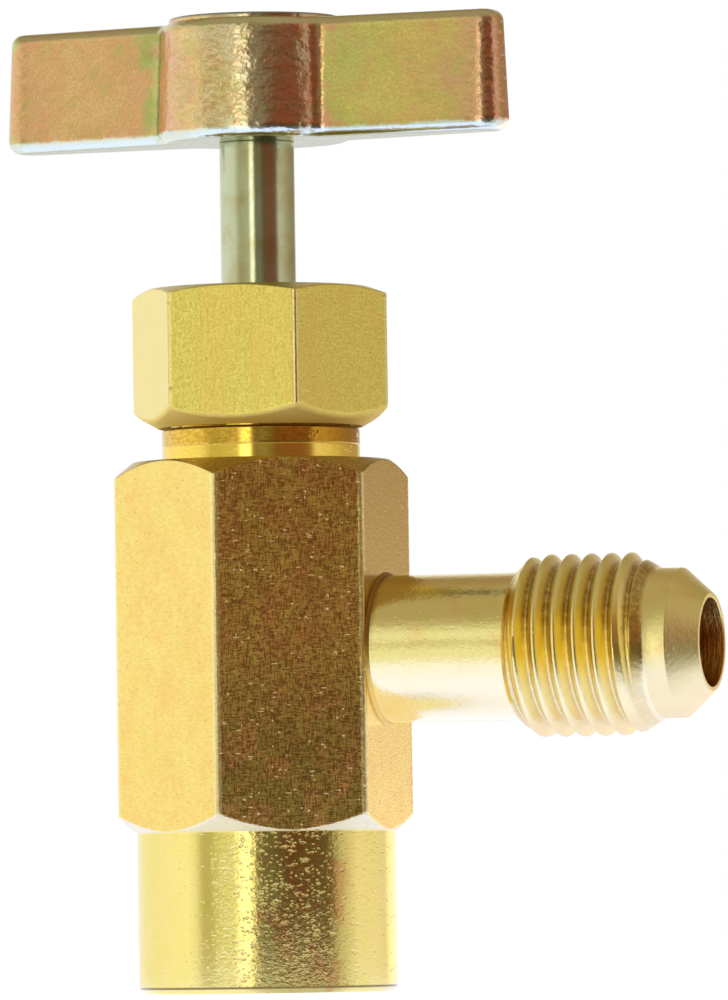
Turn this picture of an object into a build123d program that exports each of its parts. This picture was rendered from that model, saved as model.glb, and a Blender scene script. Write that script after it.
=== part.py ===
from build123d import *
import math
import os

# Refrigerant can tap valve with a side flare outlet. Millimetres, +Z up along the spindle.
# Origin: on the valve axis, on the bottom face of the skirt, which is the mouth of the can thread.
# The outlet nipple points along +X. The handle is drawn screwed fully up.

# ---- hexagonal body ----
hex_across_flats = 16.0
hex_height = 22.77
hex_end_setback = 0.1
hex_chamfer_angle = 38.5
hex_sides = 6
hex_face_turn = 30.0
hex_cut_reach = 0.7

# ---- skirt that screws on the can ----
skirt_diameter = 15.85
skirt_height = 9.8
skirt_outer_chamfer = 0.35
can_thread_bore_diameter = 12.92
can_thread_lead_in = 0.45
can_thread_length = 8.3
gasket_recess_depth = 2.2
gasket_recess_undercut = 0.44

# ---- rubber gasket in the skirt ----
gasket_hole_diameter = 4.4
gasket_wall_clearance = 0.1
gasket_float = 0.1

# ---- neck under the gland nut ----
neck_thread_diameter = 11.96
neck_shank_step = 0.1
neck_shank_height = 1.48
neck_groove_depth = 0.43
neck_groove_width = 0.7
neck_top_chamfer = 0.5

# ---- bores along the axis ----
packing_chamber_diameter = 8.5
packing_floor_rise = 0.83
spindle_thread_bore_diameter = 7.0
spindle_thread_bore_length = 9.8
valve_chamber_wall_relief = 0.2
needle_guide_diameter = 3.2

# ---- side port and outlet nipple ----
port_height_on_hex = 11.06
port_diameter = 4.6
nipple_socket_depth = 2.7
nipple_barrel_diameter = 9.0
nipple_barrel_length = 8.6
flare_thread_diameter = 11.11
flare_thread_back_chamfer = 1.05
flare_thread_length = 6.15
flare_thread_front_chamfer = 1.7
flare_thread_pitch = 1.27
flare_thread_turns = 5
flare_crest_width = 0.18
flare_root_width = 0.22
flare_groove_depth = 0.68
nose_diameter = 9.1
nose_length = 1.4
nose_cone_length = 1.72
nipple_rim_width = 0.3
nipple_bore_diameter = 5.4
nipple_socket_clearance = 0.03
nipple_seat_gap = 0.05
braze_leg = 0.3

# ---- gland nut ----
nut_across_flats = 14.0
nut_height = 8.55
nut_lift = 2.08
nut_web_thickness = 1.8
nut_bottom_land_width = 0.27
nut_bottom_chamfer_angle = 30.0
nut_top_land_setback = 0.25
nut_top_chamfer_angle = 20.0
nut_mouth_chamfer = 0.2
nut_turn = -25.6
nut_thread_clearance = 0.05
nut_stem_clearance = 0.1

# ---- packing ----
washer_thickness = 0.8
packing_ring_thickness = 1.3
follower_flange_width = 1.15
follower_flange_thickness = 1.4
follower_take_up = 0.6
washer_stem_clearance = 0.09
ring_stem_clearance = 0.03
ring_wall_clearance = 0.03
follower_stem_clearance = 0.06
follower_wall_clearance = 0.06

# ---- spindle and needle ----
travel = 6.6
stem_diameter = 4.6
stem_showing = 9.0
spindle_thread_clearance = 0.04
spindle_thread_length = 5.9
spindle_stop_gap = 0.1
spindle_thread_chamfer = 0.5
spindle_shank_step = 0.56
spindle_shank_length = 4.7
spindle_lip_width = 0.3
seat_clearance = 0.07
needle_diameter = 2.2
needle_reach = 10.25
needle_point_length = 2.4
needle_point_flat = 0.1
needle_head_step = 0.7
needle_head_rise = 1.65
needle_head_thickness = 1.1
needle_clearance = 0.05
tang_width = 3.4
tang_clearance = 0.02
peened_head_spread = 0.8
peened_head_height = 0.7

# ---- tee handle ----
hub_diameter = 12.16
hub_rise = 0.25
wing_length = 34.2
wing_middle_thickness = 6.0
wing_end_thickness = 3.1
wing_height = 7.4
handle_draft = 2.5
handle_edge_radius = 0.8
wing_end_radius = 1.45
hub_corner_radius = 0.9
hub_boss_inset = 0.78
hub_boss_depth = 0.6
hub_boss_chamfer = 0.2
handle_turn = -8.9

# ---- heights and radii worked out from the sizes above ----
hex_face_x = hex_across_flats / 2
hex_floor_z = skirt_height
body_top_z = hex_floor_z + hex_height
hex_end_radius = hex_face_x - hex_end_setback
hex_cut_radius = hex_across_flats * hex_cut_reach
hex_cut_rise = (hex_cut_radius - hex_end_radius) * math.tan(math.radians(hex_chamfer_angle))
skirt_radius = skirt_diameter / 2
can_bore_radius = can_thread_bore_diameter / 2
recess_radius = can_bore_radius + gasket_recess_undercut
recess_top_z = can_thread_length + gasket_recess_depth
gasket_bottom_z = can_thread_length + gasket_float
gasket_radius = recess_radius - gasket_wall_clearance
stem_radius = stem_diameter / 2
guide_radius = needle_guide_diameter / 2
spindle_bore_radius = spindle_thread_bore_diameter / 2
chamber_radius = spindle_bore_radius + valve_chamber_wall_relief
packing_radius = packing_chamber_diameter / 2
packing_floor_z = body_top_z + packing_floor_rise
thread_floor_z = packing_floor_z - spindle_thread_bore_length
neck_thread_radius = neck_thread_diameter / 2
neck_shank_radius = neck_thread_radius + neck_shank_step
neck_groove_radius = neck_thread_radius - neck_groove_depth
neck_shank_top_z = body_top_z + neck_shank_height
neck_groove_top_z = neck_shank_top_z + neck_groove_width
nut_bottom_z = body_top_z + nut_lift
nut_top_z = nut_bottom_z + nut_height
nut_web_z = nut_top_z - nut_web_thickness
nut_thread_radius = neck_thread_radius + nut_thread_clearance
nut_bottom_land_radius = nut_thread_radius + nut_bottom_land_width
nut_top_land_radius = nut_across_flats / 2 - nut_top_land_setback
nut_cut_radius = nut_across_flats * hex_cut_reach
nut_bottom_rise = (nut_cut_radius - nut_bottom_land_radius) * math.tan(math.radians(nut_bottom_chamfer_angle))
nut_top_rise = (nut_cut_radius - nut_top_land_radius) * math.tan(math.radians(nut_top_chamfer_angle))
follower_flange_z = nut_web_z - follower_flange_thickness
neck_top_z = follower_flange_z - follower_take_up
washer_top_z = packing_floor_z + washer_thickness
lower_ring_top_z = washer_top_z + packing_ring_thickness
middle_ring_top_z = lower_ring_top_z + packing_ring_thickness
upper_ring_top_z = middle_ring_top_z + packing_ring_thickness
ring_outer_radius = packing_radius - ring_wall_clearance
ring_inner_radius = stem_radius + ring_stem_clearance
follower_radius = packing_radius - follower_wall_clearance
port_z = hex_floor_z + port_height_on_hex
barrel_radius = nipple_barrel_diameter / 2
flare_radius = flare_thread_diameter / 2
nose_radius = nose_diameter / 2
nipple_bore_radius = nipple_bore_diameter / 2
rim_radius = nipple_bore_radius + nipple_rim_width
socket_floor_x = hex_face_x - nipple_socket_depth
nipple_start_x = socket_floor_x + nipple_seat_gap
barrel_end_x = hex_face_x + nipple_barrel_length
thread_start_x = barrel_end_x + flare_thread_back_chamfer
thread_end_x = thread_start_x + flare_thread_length
nose_start_x = thread_end_x + flare_thread_front_chamfer
nose_end_x = nose_start_x + nose_length
nipple_tip_x = nose_end_x + nose_cone_length
flare_root_radius = flare_radius - flare_groove_depth
groove_mouth_width = flare_thread_pitch - flare_crest_width
groove_flank_width = (groove_mouth_width - flare_root_width) / 2
needle_radius = needle_diameter / 2
needle_hole_radius = needle_radius + needle_clearance
needle_head_radius = needle_radius + needle_head_step
needle_pocket_radius = needle_head_radius + needle_clearance
spindle_tip_radius = needle_hole_radius + spindle_lip_width
spindle_thread_radius = spindle_bore_radius - spindle_thread_clearance
spindle_shank_radius = spindle_thread_radius - spindle_shank_step
spindle_thread_top_z = packing_floor_z - spindle_stop_gap
spindle_thread_bottom_z = spindle_thread_top_z - spindle_thread_length
spindle_cone_top_z = spindle_thread_bottom_z - spindle_shank_length
spindle_tip_z = spindle_cone_top_z - (spindle_shank_radius - spindle_tip_radius)
needle_tip_z = spindle_tip_z - needle_reach
needle_head_bottom_z = spindle_tip_z + needle_head_rise
needle_head_top_z = needle_head_bottom_z + needle_head_thickness
closed_tip_z = spindle_tip_z - travel
seat_bottom_z = closed_tip_z + guide_radius - spindle_tip_radius - seat_clearance
seat_top_z = seat_bottom_z + chamber_radius - guide_radius
hub_radius = hub_diameter / 2
handle_bottom_z = nut_top_z + stem_showing
wing_top_z = handle_bottom_z + wing_height
hub_top_z = wing_top_z + hub_rise
hub_height = hub_top_z - handle_bottom_z
hub_boss_radius = hub_radius - hub_boss_inset
hub_boss_floor_z = hub_top_z - hub_boss_depth
tang_round_radius = tang_width / 2
tang_hole_width = tang_width + 2 * tang_clearance
peened_head_radius = tang_round_radius + peened_head_spread

# ---- valve body: hexagon, cut by cones at both ends, then turned skirt, neck and bores ----
with BuildPart() as valve_body:
    with BuildSketch(Plane.XY.offset(hex_floor_z)):
        RegularPolygon(hex_face_x, hex_sides, major_radius=False, rotation=hex_face_turn)
    extrude(amount=body_top_z - hex_floor_z)
    with BuildSketch(Plane.XZ):
        with BuildLine():
            Polyline(
                (0, hex_floor_z),
                (hex_end_radius, hex_floor_z),
                (hex_cut_radius, hex_floor_z + hex_cut_rise),
                (hex_cut_radius, body_top_z - hex_cut_rise),
                (hex_end_radius, body_top_z),
                (0, body_top_z),
                close=True,
            )
        make_face()
    revolve(axis=Axis.Z, mode=Mode.INTERSECT)
    with BuildSketch(Plane.XZ):
        with BuildLine():
            Polyline(
                (0, 0),
                (skirt_radius - skirt_outer_chamfer, 0),
                (skirt_radius, skirt_outer_chamfer),
                (skirt_radius, hex_floor_z),
                (0, hex_floor_z),
                close=True,
            )
        make_face()
    revolve(axis=Axis.Z)
    with BuildSketch(Plane.XZ):
        with BuildLine():
            Polyline(
                (0, body_top_z),
                (neck_shank_radius, body_top_z),
                (neck_shank_radius, neck_shank_top_z),
                (neck_groove_radius, neck_shank_top_z),
                (neck_groove_radius, neck_groove_top_z),
                (neck_thread_radius, neck_groove_top_z),
                (neck_thread_radius, neck_top_z - neck_top_chamfer),
                (neck_thread_radius - neck_top_chamfer, neck_top_z),
                (0, neck_top_z),
                close=True,
            )
        make_face()
    revolve(axis=Axis.Z)
    with BuildSketch(Plane.XZ):
        with BuildLine():
            Polyline(
                (0, 0),
                (can_bore_radius + can_thread_lead_in, 0),
                (can_bore_radius, can_thread_lead_in),
                (can_bore_radius, can_thread_length),
                (recess_radius, can_thread_length),
                (recess_radius, recess_top_z),
                (guide_radius, recess_top_z),
                (guide_radius, seat_bottom_z),
                (chamber_radius, seat_top_z),
                (chamber_radius, thread_floor_z),
                (spindle_bore_radius, thread_floor_z),
                (spindle_bore_radius, packing_floor_z),
                (packing_radius, packing_floor_z),
                (packing_radius, neck_top_z),
                (0, neck_top_z),
                close=True,
            )
        make_face()
    revolve(axis=Axis.Z, mode=Mode.SUBTRACT)
    with BuildSketch(Plane.YZ):
        with Locations((0, port_z)):
            Circle(port_diameter / 2)
    extrude(amount=hex_face_x, mode=Mode.SUBTRACT)
    with BuildSketch(Plane.YZ.offset(socket_floor_x)):
        with Locations((0, port_z)):
            Circle(barrel_radius + nipple_socket_clearance)
    extrude(amount=hex_face_x - socket_floor_x, mode=Mode.SUBTRACT)

# ---- outlet nipple: turned about its own axis along +X, bored right through ----
# The flare thread is a row of level rings at its pitch, since a ring's land is a whole wall that can be measured.
nipple_axis = Axis((0, 0, port_z), (1, 0, 0))
with BuildPart() as outlet_nipple:
    with BuildSketch(Plane.XZ):
        with BuildLine():
            Polyline(
                (nipple_start_x, port_z + nipple_bore_radius),
                (nipple_start_x, port_z + barrel_radius),
                (barrel_end_x, port_z + barrel_radius),
                (thread_start_x, port_z + flare_radius),
                (thread_end_x, port_z + flare_radius),
                (nose_start_x, port_z + nose_radius),
                (nose_end_x, port_z + nose_radius),
                (nipple_tip_x, port_z + rim_radius),
                (nipple_tip_x, port_z + nipple_bore_radius),
                close=True,
            )
        make_face()
    revolve(axis=nipple_axis)
    with BuildSketch(Plane.XZ):
        for turn in range(flare_thread_turns):
            groove_x = thread_start_x + flare_crest_width + turn * flare_thread_pitch
            with BuildLine():
                Polyline(
                    (groove_x, port_z + flare_radius + flare_groove_depth),
                    (groove_x, port_z + flare_radius),
                    (groove_x + groove_flank_width, port_z + flare_root_radius),
                    (groove_x + groove_mouth_width - groove_flank_width, port_z + flare_root_radius),
                    (groove_x + groove_mouth_width, port_z + flare_radius),
                    (groove_x + groove_mouth_width, port_z + flare_radius + flare_groove_depth),
                    close=True,
                )
            make_face()
    revolve(axis=nipple_axis, mode=Mode.SUBTRACT)

# ---- solder fillet round the nipple, on the hexagon face ----
with BuildPart() as braze_ring:
    with BuildSketch(Plane.XZ):
        with BuildLine():
            Polyline(
                (hex_face_x, port_z + barrel_radius),
                (hex_face_x + braze_leg, port_z + barrel_radius),
                (hex_face_x, port_z + barrel_radius + braze_leg),
                close=True,
            )
        make_face()
    revolve(axis=nipple_axis)

# ---- rubber gasket that seals on the can ----
with BuildPart() as can_gasket:
    with BuildSketch(Plane.XY.offset(gasket_bottom_z)):
        Circle(gasket_radius)
        Circle(gasket_hole_diameter / 2, mode=Mode.SUBTRACT)
    extrude(amount=recess_top_z - gasket_bottom_z)

# ---- piercing needle: point, shank and the head that the spindle carries ----
with BuildPart() as piercing_needle:
    with BuildSketch(Plane.XZ):
        with BuildLine():
            Polyline(
                (0, needle_tip_z),
                (needle_point_flat, needle_tip_z),
                (needle_radius, needle_tip_z + needle_point_length),
                (needle_radius, needle_head_bottom_z),
                (needle_head_radius, needle_head_bottom_z),
                (needle_head_radius, needle_head_top_z),
                (0, needle_head_top_z),
                close=True,
            )
        make_face()
    revolve(axis=Axis.Z)

# ---- spindle: cone seat, threaded part, stem, square tang and peened head ----
with BuildPart() as spindle:
    with BuildSketch(Plane.XZ):
        with BuildLine():
            Polyline(
                (0, spindle_tip_z),
                (spindle_tip_radius, spindle_tip_z),
                (spindle_shank_radius, spindle_cone_top_z),
                (spindle_shank_radius, spindle_thread_bottom_z),
                (spindle_thread_radius - spindle_thread_chamfer, spindle_thread_bottom_z),
                (spindle_thread_radius, spindle_thread_bottom_z + spindle_thread_chamfer),
                (spindle_thread_radius, spindle_thread_top_z - spindle_thread_chamfer),
                (spindle_thread_radius - spindle_thread_chamfer, spindle_thread_top_z),
                (stem_radius, spindle_thread_top_z),
                (stem_radius, handle_bottom_z),
                (0, handle_bottom_z),
                close=True,
            )
        make_face()
    revolve(axis=Axis.Z)
    with BuildSketch(Plane.XY.offset(handle_bottom_z)):
        Rectangle(tang_width, tang_width, rotation=handle_turn)
    extrude(amount=hub_height)
    with BuildSketch(Plane.XZ):
        with BuildLine():
            Polyline(
                (0, hub_top_z - peened_head_height),
                (tang_round_radius, hub_top_z - peened_head_height),
                (peened_head_radius, hub_top_z),
                (0, hub_top_z),
                close=True,
            )
        make_face()
    revolve(axis=Axis.Z)
    with BuildSketch(Plane.XZ):
        with BuildLine():
            Polyline(
                (0, spindle_tip_z),
                (needle_hole_radius, spindle_tip_z),
                (needle_hole_radius, needle_head_bottom_z - needle_clearance),
                (needle_pocket_radius, needle_head_bottom_z - needle_clearance),
                (needle_pocket_radius, needle_head_top_z + needle_clearance),
                (0, needle_head_top_z + needle_clearance),
                close=True,
            )
        make_face()
    revolve(axis=Axis.Z, mode=Mode.SUBTRACT)

# ---- packing in the neck ----
with BuildPart() as packing_washer:
    with BuildSketch(Plane.XY.offset(packing_floor_z)):
        Circle(ring_outer_radius)
        Circle(stem_radius + washer_stem_clearance, mode=Mode.SUBTRACT)
    extrude(amount=washer_thickness)

with BuildPart() as packing_ring_lower:
    with BuildSketch(Plane.XY.offset(washer_top_z)):
        Circle(ring_outer_radius)
        Circle(ring_inner_radius, mode=Mode.SUBTRACT)
    extrude(amount=packing_ring_thickness)

with BuildPart() as packing_ring_middle:
    with BuildSketch(Plane.XY.offset(lower_ring_top_z)):
        Circle(ring_outer_radius)
        Circle(ring_inner_radius, mode=Mode.SUBTRACT)
    extrude(amount=packing_ring_thickness)

with BuildPart() as packing_ring_upper:
    with BuildSketch(Plane.XY.offset(middle_ring_top_z)):
        Circle(ring_outer_radius)
        Circle(ring_inner_radius, mode=Mode.SUBTRACT)
    extrude(amount=packing_ring_thickness)

with BuildPart() as gland_follower:
    with BuildSketch(Plane.XY.offset(upper_ring_top_z)):
        Circle(follower_radius)
    extrude(amount=follower_flange_z - upper_ring_top_z)
    with BuildSketch(Plane.XY.offset(follower_flange_z)):
        Circle(packing_radius + follower_flange_width)
    extrude(amount=follower_flange_thickness)
    with BuildSketch(Plane.XY.offset(upper_ring_top_z)):
        Circle(stem_radius + follower_stem_clearance)
    extrude(amount=nut_web_z - upper_ring_top_z, mode=Mode.SUBTRACT)

# ---- gland nut: hexagon cut by a cone at each end, hollow below its web ----
with BuildPart() as gland_nut:
    with BuildSketch(Plane.XY.offset(nut_bottom_z)):
        RegularPolygon(nut_across_flats / 2, hex_sides, major_radius=False, rotation=hex_face_turn + nut_turn)
    extrude(amount=nut_top_z - nut_bottom_z)
    with BuildSketch(Plane.XZ):
        with BuildLine():
            Polyline(
                (0, nut_bottom_z),
                (nut_bottom_land_radius, nut_bottom_z),
                (nut_cut_radius, nut_bottom_z + nut_bottom_rise),
                (nut_cut_radius, nut_top_z - nut_top_rise),
                (nut_top_land_radius, nut_top_z),
                (0, nut_top_z),
                close=True,
            )
        make_face()
    revolve(axis=Axis.Z, mode=Mode.INTERSECT)
    with BuildSketch(Plane.XZ):
        with BuildLine():
            Polyline(
                (0, nut_bottom_z),
                (nut_thread_radius + nut_mouth_chamfer, nut_bottom_z),
                (nut_thread_radius, nut_bottom_z + nut_mouth_chamfer),
                (nut_thread_radius, nut_web_z),
                (stem_radius + nut_stem_clearance, nut_web_z),
                (stem_radius + nut_stem_clearance, nut_top_z),
                (0, nut_top_z),
                close=True,
            )
        make_face()
    revolve(axis=Axis.Z, mode=Mode.SUBTRACT)

# ---- tee handle: one drafted outline with rounded edges, a low boss, a square hole and a countersink ----
handle_plane = Plane.XY.offset(handle_bottom_z).rotated((0, 0, handle_turn))
with BuildPart() as t_handle:
    with BuildSketch(handle_plane) as handle_outline:
        with BuildLine():
            Polyline(
                (0, -wing_middle_thickness / 2),
                (wing_length / 2, -wing_end_thickness / 2),
                (wing_length / 2, wing_end_thickness / 2),
                (0, wing_middle_thickness / 2),
                (-wing_length / 2, wing_end_thickness / 2),
                (-wing_length / 2, -wing_end_thickness / 2),
                close=True,
            )
        make_face()
        Circle(hub_radius)
        hub_corners = handle_outline.vertices().filter_by(lambda corner: abs(corner.X) < hub_radius)
        fillet(hub_corners, hub_corner_radius)
        wing_corners = handle_outline.vertices().filter_by(lambda corner: abs(corner.X) > hub_radius)
        fillet(wing_corners, wing_end_radius)
    extrude(amount=wing_height, taper=handle_draft)
    bottom_rim = t_handle.edges().group_by(Axis.Z)[0]
    top_rim = t_handle.edges().group_by(Axis.Z)[-1]
    fillet(bottom_rim + top_rim, handle_edge_radius)
    with BuildSketch(Plane.XZ):
        with BuildLine():
            Polyline(
                (0, hub_boss_floor_z),
                (hub_boss_radius, hub_boss_floor_z),
                (hub_boss_radius, hub_top_z - hub_boss_chamfer),
                (hub_boss_radius - hub_boss_chamfer, hub_top_z),
                (0, hub_top_z),
                close=True,
            )
        make_face()
    revolve(axis=Axis.Z)
    with BuildSketch(handle_plane):
        Rectangle(tang_hole_width, tang_hole_width)
    extrude(amount=hub_height, mode=Mode.SUBTRACT)
    with BuildSketch(Plane.XZ):
        with BuildLine():
            Polyline(
                (0, hub_top_z - peened_head_height),
                (tang_round_radius, hub_top_z - peened_head_height),
                (peened_head_radius, hub_top_z),
                (0, hub_top_z),
                close=True,
            )
        make_face()
    revolve(axis=Axis.Z, mode=Mode.SUBTRACT)

# ---- files ----
os.makedirs("parts", exist_ok=True)
valve_body.part.label = "valve_body"
export_step(valve_body.part, "parts/valve_body.step")
outlet_nipple.part.label = "outlet_nipple"
export_step(outlet_nipple.part, "parts/outlet_nipple.step")
braze_ring.part.label = "braze_ring"
export_step(braze_ring.part, "parts/braze_ring.step")
can_gasket.part.label = "can_gasket"
export_step(can_gasket.part, "parts/can_gasket.step")
piercing_needle.part.label = "piercing_needle"
export_step(piercing_needle.part, "parts/piercing_needle.step")
spindle.part.label = "spindle"
export_step(spindle.part, "parts/spindle.step")
packing_washer.part.label = "packing_washer"
export_step(packing_washer.part, "parts/packing_washer.step")
packing_ring_lower.part.label = "packing_ring_lower"
export_step(packing_ring_lower.part, "parts/packing_ring_lower.step")
packing_ring_middle.part.label = "packing_ring_middle"
export_step(packing_ring_middle.part, "parts/packing_ring_middle.step")
packing_ring_upper.part.label = "packing_ring_upper"
export_step(packing_ring_upper.part, "parts/packing_ring_upper.step")
gland_follower.part.label = "gland_follower"
export_step(gland_follower.part, "parts/gland_follower.step")
gland_nut.part.label = "gland_nut"
export_step(gland_nut.part, "parts/gland_nut.step")
t_handle.part.label = "t_handle"
export_step(t_handle.part, "parts/t_handle.step")
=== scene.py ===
import math

import bmesh
import bpy
import numpy as np
from mathutils import Matrix, Vector


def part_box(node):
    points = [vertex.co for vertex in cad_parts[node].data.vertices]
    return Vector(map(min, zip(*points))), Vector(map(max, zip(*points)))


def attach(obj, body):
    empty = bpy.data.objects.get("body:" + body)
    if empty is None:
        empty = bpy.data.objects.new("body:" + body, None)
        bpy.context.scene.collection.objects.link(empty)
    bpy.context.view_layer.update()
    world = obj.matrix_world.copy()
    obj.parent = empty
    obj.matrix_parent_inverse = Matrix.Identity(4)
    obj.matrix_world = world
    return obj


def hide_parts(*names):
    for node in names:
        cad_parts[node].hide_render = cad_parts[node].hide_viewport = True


# Refrigerant can tap valve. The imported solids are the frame; every piece that is seen is worked out here
# again as a smooth surface with rounded edges and real screw threads. Lengths are millimetres until
# make_mesh turns them into metres.

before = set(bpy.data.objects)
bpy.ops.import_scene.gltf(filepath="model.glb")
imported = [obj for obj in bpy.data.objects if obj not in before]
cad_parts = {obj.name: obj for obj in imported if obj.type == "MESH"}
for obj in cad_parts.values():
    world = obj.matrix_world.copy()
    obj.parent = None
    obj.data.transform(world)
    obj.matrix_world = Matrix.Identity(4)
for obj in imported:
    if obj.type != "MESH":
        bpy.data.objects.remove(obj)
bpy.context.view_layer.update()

METRE = 1000.0
FULL_TURN = 2 * math.pi
MERGE_DISTANCE = 2e-7
SHARP_ANGLE = math.radians(40)
STUDIO_DEGREES = 18.58
LONGEST_ARC, GUARD, LONGEST_GUARD = 0.4, 0.05, 0.45
SHORTEST_SIDE, STRAIGHTEST = 1e-6, 0.9999
LEAD_SLOPE = 4


def height_range(node, axis=2):
    """Lowest and highest place of a solid along one axis, in millimetres."""
    low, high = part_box(node)
    return low[axis] * METRE, high[axis] * METRE


# ---------------- surfaces


def grid_faces(rows, columns, close_rows, close_columns):
    """Corner numbers of the quads of a grid. A surface whose rows go up the outside of a turned piece and
    whose columns go anticlockwise round it faces outwards."""
    row, column = np.meshgrid(
        np.arange(rows if close_rows else rows - 1),
        np.arange(columns if close_columns else columns - 1),
        indexing="ij",
    )
    next_row, next_column = (row + 1) % rows, (column + 1) % columns
    corners = [
        row * columns + column,
        row * columns + next_column,
        next_row * columns + next_column,
        next_row * columns + column,
    ]
    return np.stack(corners, -1).reshape(-1, 4)


def smooth(mesh):
    """Smooth shading with sharp edges kept."""
    mesh.shade_smooth()
    mesh.set_sharp_from_angle(angle=SHARP_ANGLE)
    return mesh


def make_mesh(name, patches):
    """One closed mesh from patches whose borders meet point to point. A patch is a grid of points (rows,
    columns, 3), whether its rows close, and whether its columns do. Points at the same place become one,
    which closes the seams and the poles."""
    points, faces, first = [], [], 0
    for grid, close_rows, close_columns in patches:
        rows, columns = grid.shape[:2]
        points.append(grid.reshape(-1, 3) / METRE)
        faces.append(grid_faces(rows, columns, close_rows, close_columns) + first)
        first += rows * columns
    mesh = bpy.data.meshes.new(name)
    mesh.from_pydata(np.concatenate(points), [], np.concatenate(faces).tolist())
    work = bmesh.new()
    work.from_mesh(mesh)
    bmesh.ops.remove_doubles(work, verts=work.verts, dist=MERGE_DISTANCE)
    bmesh.ops.dissolve_degenerate(work, edges=work.edges, dist=MERGE_DISTANCE)
    work.to_mesh(mesh)
    work.free()
    return smooth(mesh)


def profile(corners, columns=1, closed=False, steps=5):
    """Points (rows, columns, 2) of a line through corners (along, radius, rounding), where along and radius
    are one number or one per column. Each corner gives way to a circular arc, a rational quadratic curve
    whose middle weight is the sine of half the corner's angle, with one more point just past each end of
    the arc, which keeps the flats beside it flat. Arc and guard take at most their share of a flat."""
    line = np.stack(
        [
            np.stack([np.broadcast_to(along, columns), np.broadcast_to(radius, columns)], -1)
            for along, radius, _ in corners
        ]
    ).astype(float)
    before, after = np.roll(line, 1, 0), np.roll(line, -1, 0)
    rows = []
    for number, (_, _, rounding) in enumerate(corners):
        here = line[number]
        if not closed and number in (0, len(corners) - 1):
            rows.append(here)
            continue
        flats = np.stack([before[number], after[number]]) - here
        lengths = np.maximum(np.linalg.norm(flats, axis=2, keepdims=True), SHORTEST_SIDE)
        back, ahead = flats / lengths
        cosine = np.clip((back * ahead).sum(1, keepdims=True), -STRAIGHTEST, STRAIGHTEST)
        weight = np.sqrt((1 - cosine) / 2)
        wanted = rounding * np.sqrt((1 + cosine) / (1 - cosine))
        set_back = np.minimum(wanted, LONGEST_ARC * lengths.min(0))
        guards = np.minimum(set_back + GUARD, LONGEST_GUARD * lengths)
        rows.append(here + back * guards[0])
        for share in np.linspace(0, 1, steps):
            first, middle, last = (1 - share) ** 2, 2 * share * (1 - share) * weight, share**2
            rows.append(here + set_back * (first * back + last * ahead) / (first + middle + last))
        rows.append(here + ahead * guards[1])
    return np.stack(rows)


def turned(line, angles, axis="z", centre=0.0):
    """Turns a profile (rows, columns, 2) of (along, radius) about an axis: each point is radius cos angle
    and radius sin angle across the axis. Axis x is the outlet's, at the height centre."""
    along, radius = line[..., 0], line[..., 1]
    across, up = radius * np.cos(angles), radius * np.sin(angles)
    if axis == "x":
        return np.stack([along, across, up + centre], -1)
    return np.stack([across, up, along], -1)


def lathe(corners, angles, axis="z", centre=0.0, closed=False, steps=5):
    """Patch of a turned piece: the profile through the corners, turned about the axis."""
    line = profile(corners, len(angles), closed, steps)
    return turned(line, angles, axis, centre), closed, True


def screw(start, end, pitch, crest, radii, blank, angles, axis="z", centre=0.0, inside=False, steps=8):
    """Patch of a right-hand screw thread between two flat rings. A strip one pitch wide is wound round
    the axis: along = crest + pitch * (turns + share of the pitch). radii are those of crest and root. Points
    past a ring fall back on it, and the radius is held to the blank's, so that the thread runs out in the
    blank's chamfers. inside cuts the thread in a bore."""
    count = len(angles)
    share, radius = thread_form(*radii, steps)
    first_turn = math.floor((start - crest) / pitch) - 2
    last_turn = math.ceil((end - crest) / pitch) + 1
    step = np.arange(first_turn * count, last_turn * count + 1)
    turn = angles[step % count] + FULL_TURN * (step // count)
    along = np.clip(crest + pitch * (turn / FULL_TURN + share[:, None]), start, end)
    radius = np.broadcast_to(radius[:, None], along.shape)
    radius = np.maximum(radius, blank(along)) if inside else np.minimum(radius, blank(along))
    line = np.stack([along, radius], -1)
    return turned(line[::-1] if inside else line, turn, axis, centre), False, False


def thread_form(crest_radius, root_radius, steps, crest_flat=0.08, root_flat=0.12, softness=0.3):
    """Shares of one pitch, from one crest to the next, and the radius at each: flat crest, straight flank,
    flat root, with the corners softened by a share of a cosine wave."""
    share = np.linspace(0, 1, steps + 1)
    from_crest = 2 * np.minimum(share, 1 - share)
    slope = np.clip((from_crest - crest_flat) / (1 - crest_flat - root_flat), 0, 1)
    softened = (1 - softness) * slope + softness * (1 - np.cos(np.pi * slope)) / 2
    return share, crest_radius + (root_radius - crest_radius) * softened


def ring_angles(count):
    """Evenly spaced angles round an axis."""
    return np.arange(count) * FULL_TURN / count


def corner_reach(apothem, rounding, sector):
    """Angle from the middle of a bar's rounded corner to where its flat face starts."""
    return sector - math.atan((apothem - rounding) * math.tan(sector) / apothem)


def hexagon_angles(apothem, rounding, turn, per_face=25, per_corner=7):
    """Angles round a hexagonal bar: close together over each rounded corner, even over each face."""
    sector = math.pi / 6
    reach = corner_reach(apothem, rounding, sector)
    over_corner = np.linspace(-reach, reach, per_corner)
    on_face = np.linspace(2 * reach, 2 * (sector - reach), per_face)
    angles = np.concatenate([over_corner, on_face]) + np.arange(6)[:, None] * 2 * sector
    return np.sort((angles.ravel() + turn + sector) % FULL_TURN)


def bar_radius(angles, apothem, rounding, turn, sides=6):
    """Distance from the axis to a regular bar with rounded corners: apothem / cos(angle from the middle of
    the face) on a face, and the far crossing of the corner's circle near a corner."""
    sector = math.pi / sides
    off_corner = np.abs((angles - turn) % (2 * sector) - sector)
    on_face = apothem / np.cos(sector - off_corner)
    centre = (apothem - rounding) / math.cos(sector)
    under_root = np.maximum(rounding**2 - (centre * np.sin(off_corner)) ** 2, 0)
    on_corner = centre * np.cos(off_corner) + np.sqrt(under_root)
    return np.where(off_corner < corner_reach(apothem, rounding, sector), on_corner, on_face)


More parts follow.
